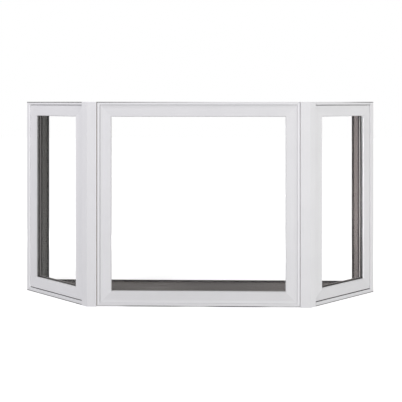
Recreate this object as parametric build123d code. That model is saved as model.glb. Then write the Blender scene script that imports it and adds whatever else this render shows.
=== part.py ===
from build123d import *
import math
import os

# A ready-made bay window: a square centre light and two narrow side lights that turn back
# towards the wall, carried between a seat board and a head board.
# Millimetres. +Z is up, -Y is outdoors and +Y is the room. The origin is under the middle of
# the whole unit, on the surface that it stands on.
#
# Each light is drawn in its own frame first: x along the light, y (depth) from the outer face
# of its rim into the room, z up. "Rim" is the narrow raised border round each frame.

# ---- the whole unit
unit_height = 1223.0  # 4 ft nominal
bay_angle = 30.0  # turn between the centre light and each side light, degrees
bay_depth = 390.0  # from the centre rim's outer face to the boards' room-side edge
board_thickness = 15.0  # seat board and head board
board_reveal = 4.0  # how much of the boards' outdoor edge shows past the rims
reveal_setback = 1.0  # that layer stops this far behind the rims' faces
end_jamb_thickness = 40.0
edging_depth = 10.0  # the strips round the unit's room edge, measured into the room
edging_height = 10.5  # how far they stand out from the boards and end jambs

# ---- the lights
centre_width = 1214.0  # over the rims
side_width = 504.0  # from the mullion-side face to the end of the rim
side_gap = 24.0  # from the outer bend of the corner cover to the side frame

# ---- frame section
frame_depth = 70.0
centre_rim_width = 17.0  # on the upright members
side_rim_width = 25.0
rim_thickness = 12.0
rim_rounding = 2.0
upstand_thickness = 3.0  # the thin wall that joins rim and box
centre_sill_upstand = 4.2  # the same wall at the sills
side_sill_upstand = 7.4
box_width = 34.0  # the frame's box, seen from the front
box_front = 27.0  # depth of the box's outdoor face, where the sash seats

# ---- sash section
sash_recess = 6.0  # the sash face lies this far behind the rim
centre_gaps = (2.2, 0.7, 0.7, 1.2)  # between rim and sash, at left, right, bottom and top
side_gaps = (0.9, 0.9, 4.2, 3.2)
centre_left_stile = 66.3
centre_right_stile = 67.8
centre_top_rail = 70.3
centre_bottom_rail = 69.1
inner_stile = 73.4  # a side light's, beside the corner
outer_stile = 55.9
side_top_rail = 68.3
side_bottom_rail = 70.4
sash_depth = 44.0  # from the sash face to its room side
sash_clearance = 2.0  # between the sash's tongue and the frame's box
side_sash_rounding = 2.5
centre_sash_rounding = 1.0
cove_width = 20.0  # the hollow border of the centre sash
cove_front = 1.5  # depth of the cove's outer edge behind the rim's face
stop_thickness = 8.0  # outdoor glazing stop
pocket_depth = 16.0  # rebate for glass and glazing bead
stop_slope = 3.0  # how far the stop's front edge is drawn back from the glass line

# ---- sealed glass unit and its beads
pane_thickness = 4.0
cavity = 14.0  # between the panes
glass_bite = 12.0  # how far the glass reaches into the rebate
spacer_width = 7.5
centre_bead_setback = 7.0  # the centre light's beads stop this far short of the opening
side_bead_setback = 0.0
bead_chamfer = 4.0
bead_mitre_gap = 0.3
mitre_stock = 20.0  # bars are cut this much longer before they are mitred
same_point = 1e-3  # corners closer than this are one

# ---- mullions
cover_thickness = 8.0
cover_centre_leg = 56.2  # from the outer bend to the left cover's edge at the centre light
cover_side_leg = 43.0  # from the outer bend to its edge on the side light
left_cover_groove = 1.8  # between a cover's edge and the centre light's rim
right_cover_groove = 0.7
cover_rounding = 1.5
cover_clearance = 0.5  # between the cover's edge and the side light's rims
casing_thickness = 12.0
casing_centre_lap = 16.0  # over the centre frame's box
casing_side_lap = 32.0  # over the side frame's box

# ---- what follows from them
centre_box_inset = centre_rim_width - upstand_thickness
side_box_inset = side_rim_width - upstand_thickness
rim_edge = centre_width / 2
cover_edge = rim_edge + left_cover_groove
centre_box_edge = rim_edge - centre_box_inset
sash_face = sash_recess
glass_front = sash_face + stop_thickness
glass_back = glass_front + 2 * pane_thickness + cavity
sash_back = sash_face + sash_depth
bend = Vector(cover_edge + cover_centre_leg, -cover_thickness)
angle = math.radians(bay_angle)
along = Vector(math.cos(angle), math.sin(angle))
inward = Vector(-math.sin(angle), math.cos(angle))
side_origin = bend - inward * (sash_recess - cover_thickness)
side_end = side_gap + side_width
side_box_end = side_end - side_box_inset
side_lap = cover_side_leg + cover_clearance  # where the side light's rims start
row_shift = Location((0, (cover_thickness - bay_depth) / 2, 0))
centre_place = Location((-centre_width / 2, 0, 0))
side_place = Location((side_origin.X, side_origin.Y, 0), (0, 0, bay_angle))


# ---- helpers; a rectangle is (left, right, bottom, top)
def block(x0, x1, z0, z1, y0, y1):
    """A box between two corners, in a light's own frame."""
    return Pos((x0 + x1) / 2, (y0 + y1) / 2, (z0 + z1) / 2) * Box(x1 - x0, y1 - y0, z1 - z0)


def ring(outer, inner, y0, y1):
    """A rectangular ring from depth y0 to y1."""
    return block(*outer, y0, y1) - block(*inner, y0, y1)


def inset(rect, margins):
    """A rectangle drawn in by one margin all round, or by (left, right, bottom, top)."""
    if isinstance(margins, float):
        margins = (margins,) * 4
    left, right, low, high = rect
    return (left + margins[0], right - margins[1], low + margins[2], high - margins[3])


def borders(outer, inner):
    """The distances between two rectangles' sides, by side."""
    return {
        "head": outer[3] - inner[3],
        "sill": inner[2] - outer[2],
        "left": inner[0] - outer[0],
        "right": outer[1] - inner[1],
    }


def side_point(distance, depth):
    """Plan point of the right side light: distance from the bend, depth from its rim's face."""
    return side_origin + along * distance + inward * depth


def level_x(y, depth):
    """Where the side light's plane at a depth crosses the line y = const in plan."""
    start = side_point(0, depth)
    return start.X + (y - start.Y) * along.X / along.Y


def level_y(x, depth):
    """Where the side light's plane at a depth crosses the line x = const in plan."""
    start = side_point(0, depth)
    return start.Y + (x - start.X) * along.Y / along.X


def shoulder():
    """Plan point of the side frame's outermost room-side corner, where the end jamb starts."""
    return side_point(side_box_end, frame_depth)


def upright(points, z0, z1):
    """A vertical prism over a plan outline."""
    outline = Polyline(*[(p.X, p.Y) for p in points], close=True)
    return Pos(0, 0, z0) * extrude(make_face(outline), z1 - z0)


def is_near(point, spots):
    """Whether a point lies on one of the (x, y) spots."""
    return any(math.hypot(point.X - x, point.Y - y) < same_point for x, y in spots)


def section(points, rounded=(), radius=0.0):
    """A member's cross-section from (width, depth) points; the corners in rounded get a radius."""
    face = make_face(Polyline(*points, close=True))
    corners = [vertex for vertex in face.vertices() if is_near(vertex, rounded)]
    return fillet(corners, radius) if corners else face


def bar(face, side, rect, start=0.0, end=0.0):
    """A straight member on one side of a rectangle, its section's width running inward.
    start and end lengthen it past the rectangle's corners."""
    left, right, low, high = rect
    lie = {
        "head": ((left, 0, high), (0, 0, -1), (1, 0, 0), right - left),
        "sill": ((right, 0, low), (0, 0, 1), (-1, 0, 0), right - left),
        "left": ((left, 0, low), (1, 0, 0), (0, 0, 1), high - low),
        "right": ((right, 0, high), (-1, 0, 0), (0, 0, -1), high - low),
    }
    corner, width_dir, run_dir, length = lie[side]
    origin = Vector(corner) - Vector(run_dir) * start
    plane = Plane(origin=origin, x_dir=width_dir, z_dir=run_dir)
    return extrude(plane * face, length + start + end)


def mitre_wedges(*rects, shift=0.0):
    """The four spaces that head, sill, left and right may fill. The seams run through the
    corners of the rectangles, which come from the outermost to the innermost.
    shift moves head and sill outward a little, which opens the mitres."""
    reach = 2.0
    seams = {}
    for name, h, v in (("lt", 0, 3), ("rt", 1, 3), ("lb", 0, 2), ("rb", 1, 2)):
        corners = [Vector(rect[h], 0, rect[v]) for rect in rects]
        seams[name] = [corners[0] + (corners[0] - corners[1]) * reach, *corners]
    outlines = {
        "head": (seams["lt"][::-1] + seams["rt"], shift),
        "sill": (seams["lb"][::-1] + seams["rb"], -shift),
        "left": (seams["lt"][::-1] + seams["lb"], 0.0),
        "right": (seams["rt"][::-1] + seams["rb"], 0.0),
    }
    wedges = {}
    for name, (outline, lift) in outlines.items():
        points = [(p.X, 0, p.Z + lift) for p in outline]
        face = make_face(Polyline(*points, close=True))
        wedges[name] = extrude(face, frame_depth * 2, dir=(0, 1, 0), both=True)
    return wedges


# ---- one light
def frame_members(body, wall, rim, seam):
    """The fixed outer frame: a box with an upstand between body and wall, and a rim on the
    sides where the rim's rectangle reaches past the body."""
    over = borders(rim, body)
    past = {side: reach + mitre_stock if reach > 0 else reach for side, reach in over.items()}
    neighbours = {
        "head": ("left", "right"),
        "sill": ("right", "left"),
        "left": ("sill", "head"),
        "right": ("head", "sill"),
    }
    wall_thickness = borders(body, wall)
    wedges = mitre_wedges(seam, wall, inset(body, box_width))
    members = {}
    for side, (before, after) in neighbours.items():
        upstand = wall_thickness[side]
        hidden = [
            (0, sash_recess),
            (upstand, sash_recess),
            (upstand, box_front),
            (box_width, box_front),
            (box_width, frame_depth),
            (0, frame_depth),
        ]
        member = bar(section(hidden), side, body)
        if over[side] > 0:
            front = [(-over[side], 0), (upstand, 0)]
            back = [(upstand, rim_thickness), (-over[side], rim_thickness)]
            face = section(front + back, front, rim_rounding)
            member += bar(face, side, body, past[before], past[after])
        members[side] = member & wedges[side]
    return members


def sash_section(width, tongue, coved):
    """A stile's or rail's section; a coved one has a hollow outer border."""
    inner = [
        (width - stop_slope, sash_face),
        (width, glass_front),
        (width - pocket_depth, glass_front),
        (width - pocket_depth, sash_back),
        (tongue, sash_back),
        (tongue, box_front),
        (0, box_front),
    ]
    if not coved:
        return section([(0, sash_face), *inner], [(0, sash_face)], side_sash_rounding)
    cove_end = (cove_width, sash_face)
    lip = (0, cove_front)
    face = make_face([Polyline(cove_end, *inner, lip), TangentArc(cove_end, lip, tangent=(-1, 0))])
    corners = [vertex for vertex in face.vertices() if is_near(vertex, [lip])]
    return fillet(corners, centre_sash_rounding)


def sash_members(outer, opening, tongue, coved):
    """The glazed sash: a broad face over the frame's box, and a tongue inside it. Rails and
    stiles differ in width, so their seams aren't at 45 degrees, and what reaches past the
    tongue there is cut away."""
    widths = borders(outer, opening)
    tongues = borders(outer, tongue)
    wedges = mitre_wedges(outer, opening)
    frame_room = ring(outer, tongue, box_front, sash_back)
    members = {}
    for side, width in widths.items():
        face = sash_section(width, tongues[side], coved)
        member = bar(face, side, outer, mitre_stock, mitre_stock) & wedges[side]
        members[side] = member - frame_room
    return members


def bead_members(opening, setback):
    """The room-side glazing beads, chamfered on their room side."""
    face = section(
        [
            (-pocket_depth, glass_back),
            (-setback, glass_back),
            (-setback, sash_back - bead_chamfer),
            (-setback - bead_chamfer, sash_back),
            (-pocket_depth, sash_back),
        ]
    )
    rebate = inset(opening, -pocket_depth)
    wedges = mitre_wedges(rebate, opening, shift=bead_mitre_gap)
    past = pocket_depth + mitre_stock
    return {side: bar(face, side, opening, past, past) & wedges[side] for side in wedges}


def light(body, rim, seam, sill_upstand, gaps, widths, coved, bead_setback):
    """All the pieces of one light, in its own frame. seam is where its outer mitres end; gaps
    and widths are the sash's, for left, right, bottom and top."""
    wall = inset(body, (upstand_thickness, upstand_thickness, sill_upstand, upstand_thickness))
    sash = inset(wall, gaps)
    opening = inset(sash, widths)
    tongue = inset(body, box_width + sash_clearance)
    glass = inset(opening, -glass_bite)
    frame = frame_members(body, wall, rim, seam)
    sashes = sash_members(sash, opening, tongue, coved)
    beads = bead_members(opening, bead_setback)
    outer_pane = block(*glass, glass_front, glass_front + pane_thickness)
    inner_pane = block(*glass, glass_back - pane_thickness, glass_back)
    spacer = ring(
        glass, inset(glass, spacer_width), glass_front + pane_thickness, glass_back - pane_thickness
    )
    return {
        "frame_head": frame["head"],
        "frame_sill": frame["sill"],
        "frame_left_jamb": frame["left"],
        "frame_right_jamb": frame["right"],
        "sash_top_rail": sashes["head"],
        "sash_bottom_rail": sashes["sill"],
        "sash_left_stile": sashes["left"],
        "sash_right_stile": sashes["right"],
        "glass": Compound([*outer_pane.solids(), *inner_pane.solids()]),
        "glass_spacer": spacer,
        "glazing_beads": Compound([s for b in beads.values() for s in b.solids()]),
    }


def centre_light():
    rim = (0, centre_width, board_reveal, unit_height - board_reveal)
    ends = (centre_box_inset, centre_width - centre_box_inset)
    body = (*ends, board_thickness, unit_height - board_thickness)
    return light(
        body,
        rim,
        seam=rim,
        sill_upstand=centre_sill_upstand,
        gaps=centre_gaps,
        widths=(centre_left_stile, centre_right_stile, centre_bottom_rail, centre_top_rail),
        coved=True,
        bead_setback=centre_bead_setback,
    )


def right_light():
    """The right side light. Its rim stops at the corner cover, which laps its inner stile."""
    rim = (side_lap, side_end, board_reveal, unit_height - board_reveal)
    body = (side_gap, side_box_end, board_thickness, unit_height - board_thickness)
    return light(
        body,
        rim,
        seam=(side_gap - side_box_inset, *rim[1:]),
        sill_upstand=side_sill_upstand,
        gaps=side_gaps,
        widths=(inner_stile, outer_stile, side_bottom_rail, side_top_rail),
        coved=False,
        bead_setback=side_bead_setback,
    )


# ---- what carries the lights
def board_outline():
    """Right half of a board's plan, from the middle of the front to the middle of the back."""
    return [
        Vector(0, rim_thickness),
        Vector(cover_edge, rim_thickness),
        Vector(cover_edge, 0),
        Vector(level_x(0, sash_recess), 0),
        side_point(side_lap, sash_recess),
        side_point(side_lap, rim_thickness),
        side_point(side_box_end, rim_thickness),
        shoulder(),
        Vector(shoulder().X, bay_depth),
        Vector(0, bay_depth),
    ]


def reveal_outlines():
    """Plans of the layer that runs out past the rims: right half of the centre, right side."""
    centre_strip = [
        Vector(0, reveal_setback),
        Vector(rim_edge, reveal_setback),
        Vector(rim_edge, rim_thickness),
        Vector(0, rim_thickness),
    ]
    side_strip = [
        side_point(side_lap, reveal_setback),
        side_point(side_end, reveal_setback),
        side_point(side_end, rim_thickness),
        side_point(side_lap, rim_thickness),
    ]
    return centre_strip, side_strip


def board(z0, reveal_z0):
    """Seat or head board; its layer from reveal_z0 shows past the rims."""
    half = upright(board_outline(), z0, z0 + board_thickness)
    for outline in reveal_outlines():
        half += upright(outline, reveal_z0, reveal_z0 + board_reveal)
    return half + mirror(half, about=Plane.YZ)


def jamb_face():
    """How far the end jambs' inner faces lie from the middle of the unit."""
    return shoulder().X - end_jamb_thickness


def end_jamb():
    """The upright behind the outer end of a side light, flush with the frame's corner."""
    inner = jamb_face()
    points = [
        Vector(inner, level_y(inner, frame_depth)),
        shoulder(),
        Vector(shoulder().X, bay_depth),
        Vector(inner, bay_depth),
    ]
    return upright(points, board_thickness, unit_height - board_thickness)


def room_edging():
    """Four strips round the unit's room edge. Those on the boards run from jamb to jamb, and
    those on the jambs fit between them."""
    depths = (bay_depth - edging_depth, bay_depth)
    x1 = jamb_face()
    x0 = x1 - edging_height
    z0 = board_thickness
    z1 = unit_height - board_thickness
    strips = [
        block(-x1, x1, z0, z0 + edging_height, *depths),
        block(-x1, x1, z1 - edging_height, z1, *depths),
        block(x0, x1, z0 + edging_height, z1 - edging_height, *depths),
        block(-x1, -x0, z0 + edging_height, z1 - edging_height, *depths),
    ]
    return Compound([solid for strip in strips for solid in strip.solids()])


def mullion_post():
    """The wedge-shaped post that both frames are fixed to."""
    points = [
        Vector(centre_box_edge, rim_thickness),
        Vector(cover_edge, rim_thickness),
        Vector(cover_edge, 0),
        Vector(level_x(0, sash_recess), 0),
        side_point(side_gap, sash_recess),
        side_point(side_gap, frame_depth),
        Vector(centre_box_edge, frame_depth),
    ]
    return upright(points, board_thickness, unit_height - board_thickness)


def mullion_cover(groove):
    """The bent outdoor cover of a corner, as tall as the unit, with a groove beside the rim."""
    front = sash_recess - cover_thickness
    start = rim_edge + groove
    points = [
        Vector(start, -cover_thickness),
        bend,
        side_point(cover_side_leg, front),
        side_point(cover_side_leg, sash_recess),
        Vector(level_x(0, sash_recess), 0),
        Vector(start, 0),
    ]
    cover = upright(points, 0, unit_height)
    corners = [(p.X, p.Y) for p in points[:3]]
    rounded = [edge for edge in cover.edges().filter_by(Axis.Z) if is_near(edge.center(), corners)]
    return fillet(rounded, cover_rounding)


def mullion_casing():
    """The room-side casing that closes the corner between two frames."""
    room = frame_depth + casing_thickness
    inner = centre_box_edge - casing_centre_lap
    points = [
        Vector(inner, frame_depth),
        Vector(inner, room),
        Vector(level_x(room, room), room),
        side_point(side_gap + casing_side_lap, room),
        side_point(side_gap + casing_side_lap, frame_depth),
        side_point(side_gap, frame_depth),
        Vector(centre_box_edge, frame_depth),
    ]
    return upright(points, board_thickness, unit_height - board_thickness)


# ---- the nodes
def mirrored_name(name):
    """Pieces of the left side light are the right one's, seen in a mirror."""
    swap = {"left_jamb": "right_jamb", "right_jamb": "left_jamb"}
    swap.update({"left_stile": "right_stile", "right_stile": "left_stile"})
    for old, new in swap.items():
        if name.endswith(old):
            return name[: -len(old)] + new
    return name


def all_nodes():
    nodes = {
        "seat_board": board(0, 0),
        "head_board": board(unit_height - board_thickness, unit_height - board_reveal),
        "room_edging": room_edging(),
        "right_mullion_cover": mullion_cover(right_cover_groove),
        "left_mullion_cover": mirror(mullion_cover(left_cover_groove), about=Plane.YZ),
    }
    for name, piece in (
        ("end_jamb", end_jamb()),
        ("mullion_post", mullion_post()),
        ("mullion_casing", mullion_casing()),
    ):
        nodes["right_" + name] = piece
        nodes["left_" + name] = mirror(piece, about=Plane.YZ)
    for name, piece in centre_light().items():
        nodes["centre_" + name] = centre_place * piece
    for name, piece in right_light().items():
        placed = side_place * piece
        nodes["right_" + name] = placed
        nodes["left_" + mirrored_name(name)] = mirror(placed, about=Plane.YZ)
    return {name: row_shift * piece for name, piece in nodes.items()}


os.makedirs("parts", exist_ok=True)
for node_name, node in all_nodes().items():
    export_step(node, f"parts/{node_name}.step")
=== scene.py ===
import math

import bpy
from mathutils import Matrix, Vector


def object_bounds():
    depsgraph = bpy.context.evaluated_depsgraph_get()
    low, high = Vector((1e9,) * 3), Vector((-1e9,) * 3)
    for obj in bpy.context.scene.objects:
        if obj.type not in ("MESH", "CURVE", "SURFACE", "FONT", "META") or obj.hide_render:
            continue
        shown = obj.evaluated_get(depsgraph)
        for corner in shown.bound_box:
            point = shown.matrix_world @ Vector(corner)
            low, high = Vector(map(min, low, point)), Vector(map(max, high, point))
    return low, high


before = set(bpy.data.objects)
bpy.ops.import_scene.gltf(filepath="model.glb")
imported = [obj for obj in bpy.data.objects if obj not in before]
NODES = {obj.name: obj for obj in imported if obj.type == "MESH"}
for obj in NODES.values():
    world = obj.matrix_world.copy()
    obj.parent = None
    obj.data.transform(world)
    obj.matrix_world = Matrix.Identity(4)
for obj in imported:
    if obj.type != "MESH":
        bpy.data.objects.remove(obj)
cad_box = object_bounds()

# The looks of a bay window: a white vinyl outside, a dark stained room side, clear glass. Every
# piece is a CAD node, which gets a material here, and only the stage round it is added.
# Metres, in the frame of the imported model: +Z up, -Y outdoors, +Y the room.

MM = 0.001
RIGHT, LEFT = (1, 0, 0), (-1, 0, 0)
ROOM, OUTDOORS = (0, 1, 0), (0, -1, 0)
UP, DOWN = (0, 0, 1), (0, 0, -1)

# ---- the lights. Each one has its own axes: along its width, depth into the room, and up.
BAY_ANGLE = math.radians(30)
TURNS = {"left": -BAY_ANGLE, "centre": 0.0, "right": BAY_ANGLE}
OUTER_END = {"left": -1, "right": 1}  # which way along x a side's outer end lies
FRAME_DEPTH = 70 * MM
JUST_PAST = 0.5 * MM
LAMINATE_DEPTH = 20 * MM  # from this depth on, frames and sashes wear the dark room-side foil
GAP_SHADE_FOIL_DEPTHS = {  # other depths, at which the dark foil starts so that the gap beside the sash gets painted shade (the side sills, 8 mm) or painted light (the left head and the outer jambs, 30 mm)
    "left_frame_sill": 8 * MM,
    "right_frame_sill": 8 * MM,
    "left_frame_head": 30 * MM,
    "left_frame_left_jamb": 30 * MM,
    "right_frame_right_jamb": 30 * MM,
}

# ---- the finishes, as linear colours
WHITE = (1, 1, 1)
VINYL_WHITE = (0.74, 0.737, 0.747)
COVER_WHITE = (0.75, 0.747, 0.757)
VINYL_GLOSS = 0.5  # this and STAIN_GLOSS are specular levels
VINYL_RELIEF = 0.05 * MM
STAIN_DARK = (0.058, 0.053, 0.050)
STAIN_LIGHT = (0.096, 0.088, 0.083)
STAIN_GLOSS = 0.06
GRAIN_CONTRAST = 3.33  # how sharply the stain changes from dark to light
GRAIN_RELIEF = 0.15 * MM
PLY_PALE = (0.52, 0.40, 0.27)
PLY_DARK = (0.36, 0.25, 0.15)
PLY_LAYER = 1.5 * MM
LUMBER_PALE = (0.55, 0.40, 0.25)
LUMBER_DARK = (0.44, 0.32, 0.20)
SEALANT = (0.40, 0.395, 0.41)  # over the posts' outdoor faces, at the bottom of the grooves
# painted light on the beads: their foil is lighter than the other room-side foil, and their side
# has a painted highlight
BEAD_LIGHT = 1.5
BEAD_RELIEF = 0.1 * MM
BEAD_HIGHLIGHT_COLOUR = (0.29, 0.272, 0.269)
BEAD_HIGHLIGHT_DEPTHS = (39.5 * MM, 48 * MM)  # depths between which the bead's side has a painted highlight, a paler line
SPACER_TONE = {"left": (0.13, 0.23), "centre": (0.13, 0.23), "right": (0.03, 0.055)}
GLASS_INDEX = 1.16  # lower than plain glass, as its coating takes most of the reflection away

# ---- painted light and shade: how much lighter or darker than its finish a vinyl piece is painted, for how the light falls on it
VINYL_LIGHT_AND_SHADE = {
    "centre_sash_bottom_rail": 0.935,
    "centre_frame_sill": 0.97,
    "centre_sash_top_rail": 0.97,
    "centre_frame_left_jamb": 1.05,
    "centre_frame_right_jamb": 1.08,
    "left_frame_left_jamb": 1.04,
    "left_sash_bottom_rail": 1.03,
    "left_sash_right_stile": 1.045,
    "right_sash_left_stile": 1.03,
    "right_sash_bottom_rail": 0.94,
    "right_frame_sill": 0.94,
    "right_sash_right_stile": 0.97,
}
STEP_HIGHLIGHTS = {  # painted light on a side light's outer jamb, on the step from its rim down to the sash
    "left_frame_left_jamb": 1.3,
    "right_frame_right_jamb": 1.15,
}
# painted light on each cover's edge beside the centre light
COVER_EDGE_HIGHLIGHT = {"left": 1.0, "right": 1.25}

# ---- tones of the wood, some of them painted light and shade. A change along x is: from x, to x, from tone, to tone.
JAMB_TONE = {"left": 0.96, "right": 0.99}
JAMB_TINT = {"left": (0.98, 1.0, 0.92), "right": (1.08, 0.97, 1.0)}
JAMB_CONTRAST = 1.2
# painted highlight on an end jamb's outdoor edge, and painted shade near its foot
JAMB_FRONT_HIGHLIGHT = {"left": 1.6, "right": 1.45}
FOOT_SHADE_TONE = {"left": 1.0, "right": 0.82}
FOOT_SHADE_HEIGHTS = (0.24, 0.27)  # heights between which the painted shade at the foot ends
BOARD_TONE = 1.45
# painted light and shade along x on the seat and head boards
BOARD_LIGHT_AND_SHADE = ((-0.8, -0.45, 0.7, 1.45), (-0.35, 0.0, 1.0, 0.7), (0.1, 0.8, 1.0, 1.65))
EDGING_TONE = 0.8
# painted light along x on the room edging, most at its right end
EDGING_LIGHT = ((-1.0, -0.7, 1.0, 1.3), (0.97, 0.99, 1.0, 1.4615))
HEAD_EDGE_CHANGES = ((-0.8, 0.35, 0.035, 0.8), (0.8, 1.1, 1.0, 0.12))
SEAT_EDGE_PALE = 0.5
SEAT_EDGE_DARK = 0.012
SEAT_EDGE_SIDE = 0.2  # under the side lights
CENTRE_REACH = 0.63  # the centre light and the grooves beside it end within this
SEAT_DARK_STRETCHES = (  # where each begins and where it ends, along x
    ((-0.50, -0.38), (-0.20, -0.02)),
    ((0.00, 0.14), (0.33, 0.46)),
)

# ---- how squarely a face looks along a direction, as the least cosine between them
ROUGHLY = 0.3
MOSTLY = 0.6
SQUARELY = 0.8

# ---- stage
FLOOR_REACH = 14.0
FLOOR_TONES = (0.44, 0.46)
FLOOR_GLOW = 0.72  # what brings the floor up to white where it is seen
WORLD_STRENGTH = 0.66

# ---- camera: level, just below the height of the unit's top, a little right of its middle
CAMERA_X = 79 * MM
CAMERA_BELOW_TOP = 4 * MM
CAMERA_BACK = 3.0353  # from the centre light's outer face
CAMERA_TURN = math.radians(0.86)  # to the left
SENSOR_WIDTH = 36.0
LENS = 45.58
SHIFT_RIGHT = -0.0072
SHIFT_UP = -0.245


# ---- where the lights lie
def light_axes(side):
    """The light's along and inward directions."""
    turn = TURNS[side]
    return Vector((math.cos(turn), math.sin(turn), 0)), Vector((-math.sin(turn), math.cos(turn), 0))


def rim_face(side):
    """Where the light's outer face lies along its inward direction."""
    inward = light_axes(side)[1]
    return min(v.co.dot(inward) for v in NODES[side + "_frame_head"].data.vertices)


# ---- node trees
class Graph:
    """A node tree, with one short call for each kind of node that is used here."""

    def __init__(self, owner, output):
        owner.use_nodes = True
        self.owner = owner
        self.tree = owner.node_tree
        self.tree.nodes.clear()
        self.out = self.node(output)

    def feed(self, socket, value):
        """Links an output to the socket, or sets it to a value."""
        if isinstance(value, bpy.types.NodeSocket):
            self.tree.links.new(value, socket)
        elif socket.type == "RGBA":
            socket.default_value = (*value, 1)
        else:
            socket.default_value = value

    def node(self, kind, values=None, **settings):
        """A node. values are its inputs, by name or number."""
        made = self.tree.nodes.new("ShaderNode" + kind)
        for name, value in settings.items():
            setattr(made, name, value)
        for key, value in (values or {}).items():
            self.feed(made.inputs[key], value)
        return made

    def place(self):
        """Where a point lies in the row frame. CAD objects sit at the origin."""
        return self.node("TexCoord").outputs["Object"]

    def vector_math(self, operation, *values):
        return self.node("VectorMath", dict(enumerate(values)), operation=operation)

    def dot(self, vector, direction):
        return self.vector_math("DOT_PRODUCT", vector, direction).outputs["Value"]

    def add(self, vector, other):
        return self.vector_math("ADD", vector, other).outputs[0]

    def stretch(self, vector, scale):
        return self.vector_math("MULTIPLY", vector, scale).outputs[0]

    def along_x(self):
        return self.dot(self.place(), RIGHT)

    def height(self):
        return self.dot(self.place(), UP)

    def math(self, operation, *values):
        return self.node("Math", dict(enumerate(values)), operation=operation).outputs[0]

    def weigh(self, first, second, share):
        """A share of first and the rest of second."""
        part = self.math("MULTIPLY", first, share)
        rest = self.math("MULTIPLY", second, 1 - share)
        return self.math("ADD", part, rest)

    def join(self, x, y, z):
        return self.node("CombineXYZ", {0: x, 1: y, 2: z}).outputs[0]

    def grey(self, value):
        return self.join(value, value, value)

    def noise(self, vector, scale, detail=2.0, roughness=0.5, distortion=0.0):
        values = {"Vector": vector, "Scale": scale, "Detail": detail}
        values.update({"Roughness": roughness, "Distortion": distortion})
        return self.node("TexNoise", values).outputs["Fac"]

    def span(self, value, low, high, to_low=0.0, to_high=1.0, smooth=False):
        """value from low..high spread over to_low..to_high."""
        kind = "SMOOTHSTEP" if smooth else "LINEAR"
        values = dict(enumerate((value, low, high, to_low, to_high)))
        return self.node("MapRange", values, interpolation_type=kind).outputs[0]

    def vary(self, noise, to_low, to_high):
        """A noise's usual range spread over to_low..to_high."""
        return self.span(noise, 0.3, 0.7, to_low, to_high)

    def pick(self, chosen, normally, then):
        """normally where chosen is 0, and then where it is 1."""
        return self.span(chosen, 0, 1, normally, then)

    def mix(self, factor, first, second, kind):
        made = self.node("Mix", data_type="RGBA", blend_type=kind)
        inputs = [socket for socket in made.inputs if socket.enabled]
        for socket, value in zip(inputs, (factor, first, second)):
            self.feed(socket, value)
        return [socket for socket in made.outputs if socket.enabled][0]

    def blend(self, factor, first, second):
        return self.mix(factor, first, second, "MIX")

    def tint(self, colour, factor):
        """The colour times another one."""
        return self.mix(1.0, colour, factor, "MULTIPLY")

    def facing(self, direction, least=ROUGHLY):
        """1 where a face looks along a direction of the row frame, and 0 elsewhere."""
        normal = self.node("NewGeometry").outputs["Normal"]
        return self.math("GREATER_THAN", self.dot(normal, direction), least)

    def bump(self, height, distance, strength):
        values = {"Height": height, "Distance": distance, "Strength": strength}
        return self.node("Bump", values).outputs[0]

    def principled(self, **values):
        named = {key.replace("_", " "): value for key, value in values.items()}
        return self.node("BsdfPrincipled", named).outputs[0]

    def seen(self):
        """1 for what the camera, reflections and glass see, and 0 for light."""
        path = self.node("LightPath")
        either = self.math("MAXIMUM", path.outputs["Is Camera Ray"], path.outputs["Is Glossy Ray"])
        return self.math("MAXIMUM", either, path.outputs["Is Transmission Ray"])

    def finish(self, shader):
        self.feed(self.out.inputs["Surface"], shader)
        return self.owner


def material_graph(name):
    return Graph(bpy.data.materials.new(name), "OutputMaterial")


def light_place(g, side):
    """A point as (along, depth, up) of its light, and its depth alone."""
    along, inward = light_axes(side)
    place = g.place()
    depth = g.math("SUBTRACT", g.dot(place, inward), rim_face(side))
    return g.join(g.dot(place, along), depth, g.dot(place, UP)), depth


def lengthwise(g, vector, run, squeeze):
    """Squeezes a pattern along the run of a member: "level" members lie, "upright" ones stand."""
    scale = (squeeze, 1, 1) if run == "level" else (1, 1, squeeze)
    return g.stretch(vector, scale)


def tone_along_x(g, changes, smooth=True):
    """The product of some changes of tone along x."""
    tone = 1.0
    for change in changes:
        tone = g.math("MULTIPLY", tone, g.span(g.along_x(), *change, smooth=smooth))
    return tone


# ---- finishes
def vinyl_look(g, vector, run, colour):
    """Extruded white vinyl: faint draw lines along the run, cloudy tone and a fine orange peel.
    Returns its colour, roughness and height."""
    drawn = g.noise(lengthwise(g, vector, run, squeeze=0.01), scale=420.0, detail=3.0)
    cloudy = g.noise(vector, scale=5.0, detail=3.0)
    peel = g.noise(vector, scale=700.0)
    tone = g.math("ADD", g.vary(drawn, -0.012, 0.012), g.vary(cloudy, 0.97, 1.0))
    rough = g.vary(cloudy, 0.34, 0.44)
    return g.tint(colour, g.grey(tone)), rough, g.weigh(drawn, peel, share=0.6)


def grain_look(g, vector, run, tone=1.0, contrast=GRAIN_CONTRAST):
    """Dark stained wood grain along the run. Returns its colour, roughness and height."""
    wavy = g.noise(lengthwise(g, vector, run, squeeze=0.12), scale=9.0)
    bent = g.add(vector, g.grey(g.math("MULTIPLY", wavy, 12 * MM)))
    figure = lengthwise(g, bent, run, squeeze=0.01)
    streaks = g.noise(figure, scale=160.0, detail=6.0, roughness=0.65)
    pores = g.noise(lengthwise(g, vector, run, squeeze=0.03), scale=900.0)
    grain = g.weigh(streaks, pores, share=0.75)
    dark, light = (tuple(tone * c for c in stain) for stain in (STAIN_DARK, STAIN_LIGHT))
    colour = g.blend(g.span(grain, 0.5 - 0.5 / contrast, 0.5 + 0.5 / contrast), dark, light)
    rough = g.vary(pores, 0.42, 0.56)
    return colour, rough, g.weigh(streaks, pores, share=0.4)


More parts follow.
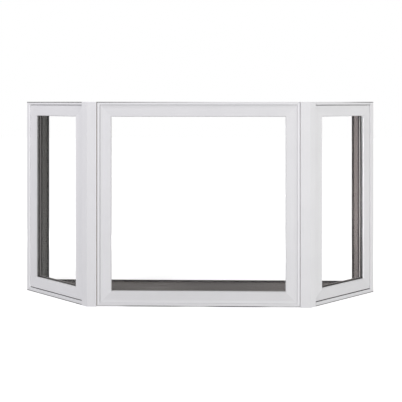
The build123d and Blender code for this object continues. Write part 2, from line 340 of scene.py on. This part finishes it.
def matt(g, colour, rough, height, relief=GRAIN_RELIEF):
    """Ends a matt finish. relief is the depth of its grain."""
    normal = g.bump(height, distance=relief, strength=0.7)
    return g.finish(
        g.principled(
            Base_Color=colour, Roughness=rough, Specular_IOR_Level=STAIN_GLOSS, Normal=normal
        )
    )


# ---- vinyl
def foiled_vinyl(name, side, run, outward=None):
    """White vinyl outdoors and dark wood-grain foil on the room side, split at a depth. The white
    is made lighter or darker piece by piece as painted light and shade, and on some pieces the
    split is moved so that the gap beside the sash gets painted shade or painted light. On an
    outer jamb, outward is the direction away from the glass, faces that look there have no foil,
    and faces that look back towards the glass get painted light."""
    g = material_graph(name)
    vector, depth = light_place(g, side)
    # painted light and shade: each piece's white is made lighter or darker for how the light falls
    # on it
    paint = tuple(VINYL_LIGHT_AND_SHADE.get(name, 1.0) * c for c in VINYL_WHITE)
    white, white_rough, white_height = vinyl_look(g, vector, run, paint)
    dark, dark_rough, dark_height = grain_look(g, vector, run)
    # where a piece has its own depth, the split gives the gap beside the sash painted shade or
    # painted light
    room = g.math("GREATER_THAN", depth, GAP_SHADE_FOIL_DEPTHS.get(name, LAMINATE_DEPTH))
    if outward is not None:
        room = g.math("MULTIPLY", room, g.math("SUBTRACT", 1.0, g.facing(outward)))
        # painted light: faces of the outer jamb that look towards the glass are made lighter
        step = g.pick(g.facing(-outward, MOSTLY), 1.0, STEP_HIGHLIGHTS[name])
        white = g.tint(white, g.grey(step))
    height = g.pick(room, white_height, dark_height)
    return g.finish(
        g.principled(
            Base_Color=g.blend(room, white, dark),
            Roughness=g.pick(room, white_rough, dark_rough),
            Specular_IOR_Level=g.pick(room, VINYL_GLOSS, STAIN_GLOSS),
            Normal=g.bump(height, distance=VINYL_RELIEF, strength=0.6),
        )
    )


def cover_vinyl(side):
    """A corner cover, with painted light on its edge beside the centre light."""
    g = material_graph(side + "_cover_vinyl")
    colour, rough, height = vinyl_look(g, g.place(), "upright", COVER_WHITE)
    inner_edge = g.facing((-OUTER_END[side], 0, 0), MOSTLY)
    # painted light on the edge beside the centre light
    colour = g.tint(colour, g.grey(g.pick(inner_edge, 1.0, COVER_EDGE_HIGHLIGHT[side])))
    normal = g.bump(height, distance=VINYL_RELIEF, strength=0.6)
    return g.finish(g.principled(Base_Color=colour, Roughness=rough, Normal=normal))


def bead_foil(side):
    """The beads' foil, made lighter by painted light, with a painted highlight: a paler line along
    the side that shows past the glass.
    """
    g = material_graph(side + "_bead_foil")
    vector, depth = light_place(g, side)
    colour, rough, height = grain_look(g, vector, "upright", BEAD_LIGHT)
    begin, end = BEAD_HIGHLIGHT_DEPTHS
    # painted highlight along the bead's side
    line = g.math("MULTIPLY", g.math("GREATER_THAN", depth, begin), g.math("LESS_THAN", depth, end))
    return matt(g, g.blend(line, colour, BEAD_HIGHLIGHT_COLOUR), rough, height, BEAD_RELIEF)


# ---- wood
def casing_wood():
    """The casings over the posts: plain stained wood."""
    g = material_graph("casing_wood")
    return matt(g, *grain_look(g, g.place(), "upright"))


def edging_wood():
    """The room edging: a little darker than the rest, with painted light along x, least at its left
    end and most at its right end.
    """
    g = material_graph("edging_wood")
    colour, rough, height = grain_look(g, g.place(), "level", EDGING_TONE)
    colour = g.tint(colour, g.grey(tone_along_x(g, EDGING_LIGHT, smooth=False)))
    return matt(g, colour, rough, height)


def ply_face(g, run):
    """The bare face of plywood: long pale grain."""
    along = lengthwise(g, g.place(), run, squeeze=0.05)
    figure = g.noise(along, scale=60.0, detail=4.0, roughness=0.6, distortion=0.4)
    return g.blend(g.vary(figure, 0.0, 1.0), PLY_PALE, PLY_DARK)


def ply_edge(g, across):
    """The cut edge of plywood: its layers, counted along a direction."""
    run = g.math("DIVIDE", g.dot(g.place(), across), 2 * PLY_LAYER)
    layer = g.math("GREATER_THAN", g.math("FRACT", run), 0.5)
    fibres = g.noise(g.place(), scale=300.0, detail=3.0)
    darkness = g.math("MULTIPLY", g.vary(fibres, 0.8, 1.0), g.pick(layer, 0.15, 0.85))
    return g.blend(darkness, PLY_PALE, PLY_DARK)


def jamb_wood(side):
    """An end jamb: stained, with a painted highlight on its outdoor edge and painted shade near its
    foot, and bare plywood on its outer side and its room edge."""
    g = material_graph(side + "_jamb_wood")
    tone = JAMB_TONE[side]
    colour, rough, height = grain_look(g, g.place(), "upright", tone, JAMB_CONTRAST)
    depth = light_place(g, side)[1]
    front = g.math("LESS_THAN", depth, FRAME_DEPTH + JUST_PAST)
    # painted highlight on the outdoor edge and painted shade near the foot
    front_highlight = g.pick(front, 1.0, JAMB_FRONT_HIGHLIGHT[side] / tone)
    foot_shade = g.span(g.height(), *FOOT_SHADE_HEIGHTS, FOOT_SHADE_TONE[side], 1.0)
    colour = g.tint(colour, g.grey(g.math("MULTIPLY", front_highlight, foot_shade)))
    colour = g.tint(colour, JAMB_TINT[side])
    colour = g.blend(g.facing((OUTER_END[side], 0, 0), SQUARELY), colour, ply_face(g, "upright"))
    colour = g.blend(g.facing(ROOM), colour, ply_edge(g, RIGHT))
    return matt(g, colour, rough, height)


def board_wood(name, bare, edge_tone):
    """The seat or head board: stained on the side that shows in the room, with painted light and
    shade along x, plywood on its bare side and its cut edges. edge_tone makes the colour of its
    outdoor edge."""
    g = material_graph(name)
    colour, rough, height = grain_look(g, g.place(), "level", BOARD_TONE)
    colour = g.tint(colour, g.grey(tone_along_x(g, BOARD_LIGHT_AND_SHADE)))
    colour = g.blend(g.facing(OUTDOORS), colour, edge_tone(g))
    for direction in (ROOM, RIGHT, LEFT):
        colour = g.blend(g.facing(direction, SQUARELY), colour, ply_edge(g, UP))
    colour = g.blend(g.facing(bare), colour, ply_face(g, "level"))
    return matt(g, colour, rough, height)


def head_edge(g):
    """The head board's outdoor edge: dark at the left, palest right of the middle."""
    cloudy = g.vary(g.noise(g.place(), scale=12.0, detail=3.0), 0.92, 1.0)
    return g.grey(g.math("MULTIPLY", tone_along_x(g, HEAD_EDGE_CHANGES), cloudy))


def seat_edge(g):
    """The seat board's outdoor edge: two dark stretches under the centre light, and an even
    tone under the side lights."""
    x = g.along_x()
    dark = 0.0
    for rise, fall in SEAT_DARK_STRETCHES:
        begun = g.span(x, *rise, smooth=True)
        not_ended = g.span(x, *fall, 1.0, 0.0, smooth=True)
        dark = g.math("ADD", dark, g.math("MULTIPLY", begun, not_ended))
    tone = g.pick(dark, SEAT_EDGE_PALE, SEAT_EDGE_DARK)
    beside = g.math("GREATER_THAN", g.math("ABSOLUTE", x), CENTRE_REACH)
    tone = g.pick(beside, tone, SEAT_EDGE_SIDE)
    cloudy = g.vary(g.noise(g.place(), scale=12.0, detail=3.0), 0.85, 1.1)
    return g.grey(g.math("MULTIPLY", tone, cloudy))


def post_lumber():
    """The corner posts: softwood, with sealant on the outdoor faces."""
    g = material_graph("post_lumber")
    rings = g.noise(lengthwise(g, g.place(), "upright", squeeze=0.04), scale=90.0, detail=4.0)
    colour = g.blend(g.span(rings, 0.35, 0.65), LUMBER_PALE, LUMBER_DARK)
    colour = g.blend(g.facing(OUTDOORS), colour, SEALANT)
    normal = g.bump(rings, distance=0.2 * MM, strength=0.5)
    return g.finish(g.principled(Base_Color=colour, Roughness=0.7, Normal=normal))


# ---- glazing
def clear_glass():
    """Clear float glass that lets lamps through."""
    g = material_graph("clear_glass")
    glass = g.principled(Base_Color=WHITE, Roughness=0.0, IOR=GLASS_INDEX, Transmission_Weight=1.0)
    path = g.node("LightPath")
    through = g.math("MAXIMUM", path.outputs["Is Shadow Ray"], path.outputs["Is Diffuse Ray"])
    clear = g.node("BsdfTransparent").outputs[0]
    return g.finish(g.node("MixShader", {0: through, 1: glass, 2: clear}).outputs[0])


def spacer_metal(side):
    """The dull bar between the panes, with faint upright streaks."""
    g = material_graph(side + "_spacer_metal")
    streaks = g.noise(lengthwise(g, g.place(), "upright", squeeze=0.05), scale=500.0, detail=3.0)
    tone = g.vary(streaks, *SPACER_TONE[side])
    rough = g.vary(streaks, 0.35, 0.5)
    return g.finish(g.principled(Base_Color=g.grey(tone), Roughness=rough, Metallic=0.4))


# ---- each CAD node gets one material
def dress(node, material):
    data = NODES[node].data
    data.materials.clear()
    data.materials.append(material)


def dress_light(side, glass):
    """The frame, the sash and the glazing of a light."""
    for piece in ("frame_head", "frame_sill", "sash_top_rail", "sash_bottom_rail"):
        name = f"{side}_{piece}"
        dress(name, foiled_vinyl(name, side, "level"))
    for piece in ("frame_left_jamb", "frame_right_jamb", "sash_left_stile", "sash_right_stile"):
        name = f"{side}_{piece}"
        is_outer_jamb = name in STEP_HIGHLIGHTS
        outward = light_axes(side)[0] * OUTER_END[side] if is_outer_jamb else None
        dress(name, foiled_vinyl(name, side, "upright", outward))
    dress(side + "_glazing_beads", bead_foil(side))
    dress(side + "_glass", glass)
    dress(side + "_glass_spacer", spacer_metal(side))


def dress_all():
    glass = clear_glass()
    for side in TURNS:
        dress_light(side, glass)
    dress("head_board", board_wood("head_veneer", UP, head_edge))
    dress("seat_board", board_wood("seat_veneer", DOWN, seat_edge))
    dress("room_edging", edging_wood())
    post = post_lumber()
    casing = casing_wood()
    for side in OUTER_END:
        dress(side + "_mullion_cover", cover_vinyl(side))
        dress(side + "_mullion_post", post)
        dress(side + "_mullion_casing", casing)
        dress(side + "_end_jamb", jamb_wood(side))


# ---- stage
def floor_material():
    """Pale and matt. It glows only for what the camera, reflections and glass see of it."""
    g = material_graph("studio_floor")
    tone = g.vary(g.noise(g.place(), scale=1.5), *FLOOR_TONES)
    base = g.principled(Base_Color=g.grey(tone), Roughness=0.9, Specular_IOR_Level=0.1)
    strength = g.math("MULTIPLY", g.seen(), FLOOR_GLOW)
    glow = g.node("Emission", {"Color": WHITE, "Strength": strength}).outputs[0]
    return g.finish(g.node("AddShader", {0: base, 1: glow}).outputs[0])


def floor():
    mesh = bpy.data.meshes.new("studio_floor")
    turns = ((-1, -1), (1, -1), (1, 1), (-1, 1))
    corners = [(x * FLOOR_REACH, y * FLOOR_REACH, 0) for x, y in turns]
    mesh.from_pydata(corners, [], [(0, 1, 2, 3)])
    mesh.materials.append(floor_material())
    plane = bpy.data.objects.new("studio_floor", mesh)
    bpy.context.scene.collection.objects.link(plane)


def studio_world():
    """A soft white light from all round, which is seen as pure white."""
    g = Graph(bpy.data.worlds.new("studio"), "OutputWorld")
    strength = g.pick(g.seen(), WORLD_STRENGTH, 1.0)
    background = g.node("Background", {"Color": WHITE, "Strength": strength})
    bpy.context.scene.world = g.finish(background.outputs[0])


def lamp(name, place, target, size, power, spread=180, colour=WHITE):
    """A soft box. spread is the full angle of its beam, in degrees."""
    data = bpy.data.lights.new(name, "AREA")
    data.color = colour
    data.shape = "RECTANGLE"
    data.size, data.size_y = size
    data.energy = power
    data.spread = math.radians(spread)
    made = bpy.data.objects.new(name, data)
    made.location = place
    made.rotation_euler = (Vector(target) - Vector(place)).to_track_quat("-Z", "Y").to_euler()
    bpy.context.scene.collection.objects.link(made)


def lamps():
    """A key and a fill outdoors, and a narrow beam in the room on the right end jamb."""
    middle = (0, 0, 0.6)
    beside_jamb = (1.03, 0.69, 0.6)  # off the jamb, so that the beam misses the centre light
    lamp("key", (-3.0, -3.4, 3.1), middle, size=(1.2, 1.2), power=80, colour=(0.995, 0.975, 1.05))
    lamp("fill", (3.3, -3.6, 0.6), middle, size=(1.6, 1.6), power=82, colour=(1.0, 1.0, 0.99))
    lamp("room", (-2.0, 1.5, 0.75), beside_jamb, size=(0.5, 1.8), power=27, spread=34)


def camera():
    data = bpy.data.cameras.new("camera")
    data.sensor_width = SENSOR_WIDTH
    data.lens = LENS
    data.shift_x = SHIFT_RIGHT
    data.shift_y = SHIFT_UP
    made = bpy.data.objects.new("camera", data)
    height = cad_box[1].z - CAMERA_BELOW_TOP
    made.location = (CAMERA_X, rim_face("centre") - CAMERA_BACK, height)
    made.rotation_euler = (math.radians(90), 0, CAMERA_TURN)
    bpy.context.scene.collection.objects.link(made)
    bpy.context.scene.camera = made


dress_all()
floor()
studio_world()
lamps()
camera()
bpy.context.scene.view_settings.view_transform = "Standard"
